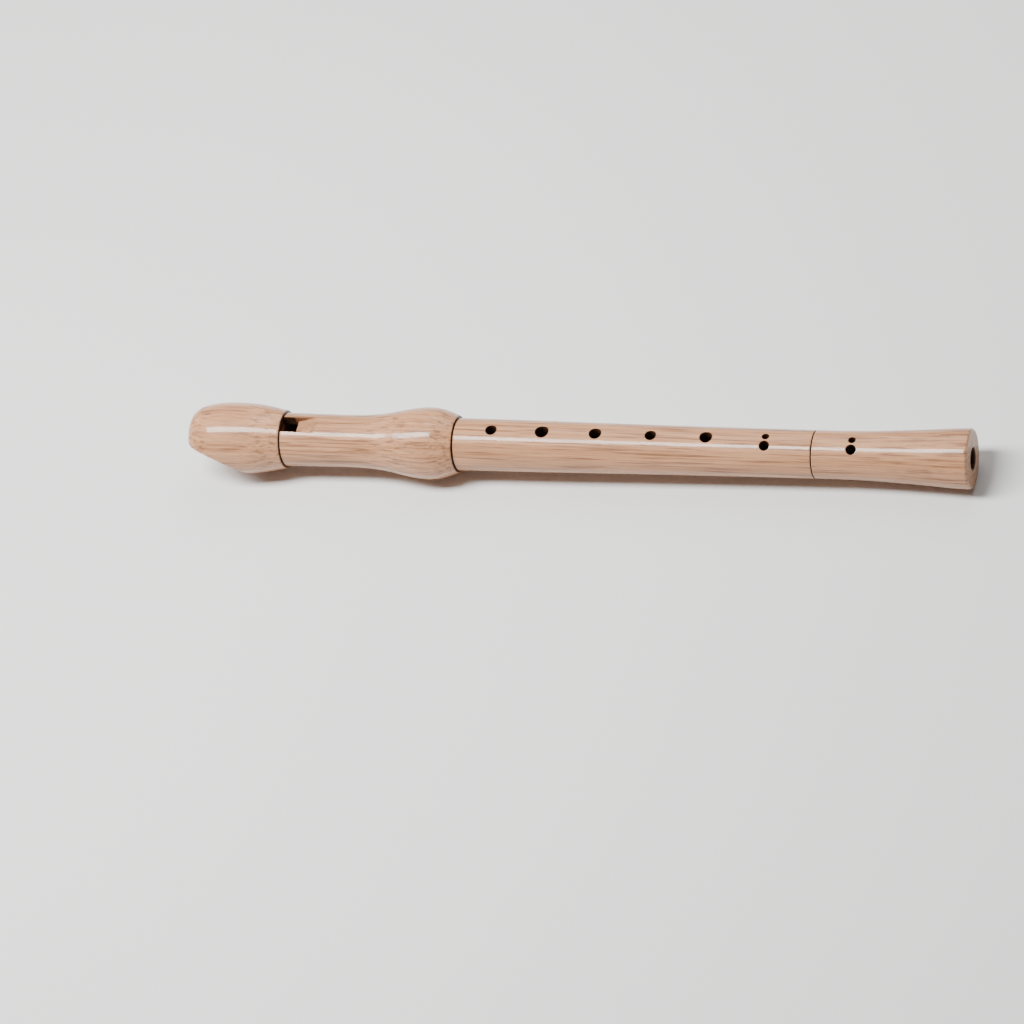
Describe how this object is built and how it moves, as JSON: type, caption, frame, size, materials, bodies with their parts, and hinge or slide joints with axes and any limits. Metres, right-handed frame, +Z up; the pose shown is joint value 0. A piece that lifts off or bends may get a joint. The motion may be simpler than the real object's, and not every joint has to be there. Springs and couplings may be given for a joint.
{
  "type": "soprano recorder",
  "caption": "Turned wooden soprano recorder with a beaked mouthpiece, corked joints that twist and pull apart, a window and labium, and finger holes.",
  "frame": {"origin": "on the surface that the recorder lies on, below the bore's axis and halfway along its length", "axes": "+X along the bore from the mouthpiece to the foot joint's open end, +Z up through the finger holes and the window, +Y across"},
  "size_m": [0.325, 0.0292, 0.0293],
  "materials": {
    "pearwood": "pale pearwood under satin lacquer",
    "cedar": "bare planed cedar",
    "cork": "natural cork with a little joint grease"
  },
  "bodies": {
    "middle": {"middle_joint": "pearwood"},
    "upper_cork": {"upper_tenon_cork": "cork"},
    "head": {"head_barrel": "pearwood", "mouthpiece": "pearwood"},
    "block": {"fipple_block": "cedar"},
    "lower_cork": {"lower_tenon_cork": "cork"},
    "foot": {"foot_joint": "pearwood"}
  },
  "joints": [
    {"name": "head_twist", "type": "hinge", "parent": "middle", "child": "upper_cork", "pos_m": [-0.05985, 0, 0.01464], "axis": [1, 0, 0], "continuous": true},
    {"name": "head_pull", "type": "slide", "parent": "upper_cork", "child": "head", "axis": [-1, 0, 0], "range_m": [0, 0.03]},
    {"name": "block_push", "type": "slide", "parent": "head", "child": "block", "axis": [-1, 0, 0], "range_m": [0, 0.045]},
    {"name": "foot_twist", "type": "hinge", "parent": "middle", "child": "lower_cork", "pos_m": [0.1052, 0, 0.01464], "axis": [1, 0, 0], "continuous": true},
    {"name": "foot_pull", "type": "slide", "parent": "lower_cork", "child": "foot", "axis": [1, 0, 0], "range_m": [0, 0.018]}
  ]
}
